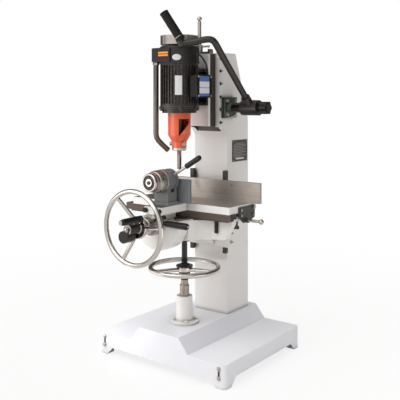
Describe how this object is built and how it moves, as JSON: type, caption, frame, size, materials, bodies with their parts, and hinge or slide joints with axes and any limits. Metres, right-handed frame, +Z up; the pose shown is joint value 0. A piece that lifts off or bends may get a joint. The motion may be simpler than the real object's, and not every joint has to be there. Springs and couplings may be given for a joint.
{
  "type": "floor-standing hollow chisel mortiser",
  "caption": "Floor-standing hollow chisel mortiser: sheet base, column, motor head on a lever feed, knee, cross and long slides, vise, fence and handwheels",
  "frame": {"origin": "centre of the base on the floor", "axes": "+X to the machine's right, +Y to its back, +Z up"},
  "size_m": [0.6565, 0.736, 1.4145],
  "materials": {
    "white_paint": "gloss off-white machine enamel",
    "way_steel": "machined, oiled",
    "carriage": "white front, machined sides",
    "black_paint": "satin black",
    "green_paint": "dark green",
    "bolts": "plated steel",
    "grey_plastic": "dark grey moulded box",
    "bare_aluminium": "spun aluminium",
    "black_rubber": "sheathed lead",
    "black_chrome": "black chromed tube",
    "orange_paint": "orange enamel",
    "bright_steel": "turned and polished steel",
    "wheel_chrome": "polished rim",
    "dark_lever": "dark lacquered tube",
    "black_grip": "moulded grip",
    "table_iron": "ground top, white sides",
    "oiled_iron": "oily brown ways",
    "ground_iron": "ground",
    "grey_iron": "dark grey casting"
  },
  "bodies": {
    "frame_body": {"base_pan": "white_paint", "base_straps": "black_paint", "column": "white_paint", "guide_bars": "way_steel", "name_plate": "black_paint", "head_gibs": "bolts", "feed_bearing": "green_paint", "pedestal": "white_paint", "lift_bearing": "black_paint"},
    "head_body": {"head_carriage": "carriage", "head_rack": "way_steel", "motor_bracket": "black_paint", "motor_body": "black_paint", "end_bell": "black_paint", "fan_cowl": "black_paint", "top_drum": "bare_aluminium", "terminal_box": "grey_plastic", "rating_plate": "bare_aluminium", "motor_lead": "black_rubber", "blower_box": "black_paint", "blower_pipe": "black_chrome", "chisel_holder": "orange_paint", "nose_ring": "bright_steel", "holder_screws": "bolts", "hollow_chisel": "bright_steel", "stop_bracket": "bolts"},
    "spindle_body": {"spindle": "bright_steel", "auger_bit": "bright_steel"},
    "stop_body": {"depth_rod": "bright_steel"},
    "lever_body": {"feed_pinion": "way_steel", "lever_hub": "dark_lever", "lever_arm": "dark_lever", "lever_grip": "black_grip"},
    "feed_knob_body": {"feed_knob": "black_grip"},
    "knee_body": {"knee": "white_paint", "lift_screw": "bright_steel"},
    "lift_wheel_body": {"lift_wheel": "wheel_chrome", "lift_nut": "black_paint"},
    "knee_lock_body": {"knee_lock": "black_grip"},
    "saddle_body": {"saddle": "white_paint", "apron": "white_paint", "wheel_sleeve": "bright_steel"},
    "saddle_key_body": {"saddle_key": "dark_lever"},
    "saddle_lock_body": {"lock_lever": "dark_lever"},
    "wheel_body": {"main_wheel": "wheel_chrome", "table_pinion": "bright_steel"},
    "crank_body": {"cross_crank": "dark_lever"},
    "crank_grip_body": {"crank_grip": "black_grip"},
    "table_body": {"table": "table_iron", "table_slide": "oiled_iron", "fence": "ground_iron", "end_bracket": "black_paint", "vise_body": "grey_iron", "vise_drum": "bright_steel"},
    "table_lock_body": {"table_lock": "bright_steel"},
    "ram_body": {"vise_ram": "bright_steel", "vise_jaw": "grey_iron"},
    "vise_lever_body": {"vise_lever": "dark_lever"},
    "vise_knob_body": {"vise_knob": "bright_steel"}
  },
  "joints": [
    {"name": "head_slide", "type": "slide", "parent": "frame_body", "child": "head_body", "axis": [0, 0, -1], "range_m": [0, 0.0565]},
    {"name": "lever_turn", "type": "hinge", "parent": "frame_body", "child": "lever_body", "pos_m": [0.205, 0.0755, 1.028], "axis": [1, 0, 0], "range_deg": [0, 61]},
    {"name": "feed_knob_turn", "type": "hinge", "parent": "lever_body", "child": "feed_knob_body", "pos_m": [0.27, 0.0755, 1.028], "axis": [1, 0, 0], "range_deg": [-120, 120]},
    {"name": "spindle_spin", "type": "hinge", "parent": "head_body", "child": "spindle_body", "pos_m": [0, -0.146, 1.1], "axis": [0, 0, 1], "continuous": true},
    {"name": "depth_stop_slide", "type": "slide", "parent": "head_body", "child": "stop_body", "axis": [0, 0, 1], "range_m": [-0.05, 0.04]},
    {"name": "knee_slide", "type": "slide", "parent": "frame_body", "child": "knee_body", "axis": [0, 0, 1], "range_m": [-0.02, 0.04]},
    {"name": "lift_wheel_turn", "type": "hinge", "parent": "frame_body", "child": "lift_wheel_body", "pos_m": [0, -0.1116, 0.37], "axis": [0, 0, 1], "range_deg": [-1810, 910]},
    {"name": "knee_lock_turn", "type": "hinge", "parent": "knee_body", "child": "knee_lock_body", "pos_m": [0.13, 0.058, 0.532], "axis": [1, 0, 0], "range_deg": [-90, 90]},
    {"name": "cross_slide", "type": "slide", "parent": "knee_body", "child": "saddle_body", "axis": [0, -1, 0], "range_m": [0, 0.06]},
    {"name": "crank_turn", "type": "hinge", "parent": "saddle_body", "child": "crank_body", "pos_m": [-0.061, -0.36, 0.5605], "axis": [0, -1, 0], "range_deg": [0, 3610]},
    {"name": "crank_grip_spin", "type": "hinge", "parent": "crank_body", "child": "crank_grip_body", "pos_m": [-0.033, -0.4, 0.5995], "axis": [0, 1, 0], "continuous": true},
    {"name": "saddle_key_turn", "type": "hinge", "parent": "saddle_body", "child": "saddle_key_body", "pos_m": [0.157, -0.105, 0.575], "axis": [0, 1, 0], "range_deg": [-25, 25]},
    {"name": "saddle_lock_turn", "type": "hinge", "parent": "saddle_body", "child": "saddle_lock_body", "pos_m": [-0.061, -0.246, 0.5605], "axis": [0, 1, 0], "range_deg": [-4, 30]},
    {"name": "table_slide", "type": "slide", "parent": "saddle_body", "child": "table_body", "axis": [1, 0, 0], "range_m": [-0.022, 0.12]},
    {"name": "handwheel_turn", "type": "hinge", "parent": "saddle_body", "child": "wheel_body", "pos_m": [-0.061, -0.358, 0.5605], "axis": [0, 1, 0], "range_deg": [-54, 288]},
    {"name": "table_lock_turn", "type": "hinge", "parent": "table_body", "child": "table_lock_body", "pos_m": [0.29, -0.039, 0.582], "axis": [1, 0, 0], "range_deg": [-90, 90]},
    {"name": "vise_slide", "type": "slide", "parent": "table_body", "child": "ram_body", "axis": [0, 1, 0], "range_m": [0, 0.018]},
    {"name": "vise_lever_turn", "type": "hinge", "parent": "table_body", "child": "vise_lever_body", "pos_m": [0, -0.23, 0.74], "axis": [0, 1, 0], "range_deg": [0, 31]},
    {"name": "vise_knob_turn", "type": "hinge", "parent": "table_body", "child": "vise_knob_body", "pos_m": [0, -0.328, 0.74], "axis": [0, 1, 0], "continuous": true}
  ],
  "couplings": [
    {"joint": "lever_turn", "follows": "head_slide", "rad_per_m": 18.518},
    {"joint": "lift_wheel_turn", "follows": "knee_slide", "rad_per_m": -785.4},
    {"joint": "crank_turn", "follows": "cross_slide", "rad_per_m": 1047.2},
    {"joint": "handwheel_turn", "follows": "table_slide", "rad_per_m": 41.667},
    {"joint": "vise_lever_turn", "follows": "vise_slide", "rad_per_m": 29}
  ]
}
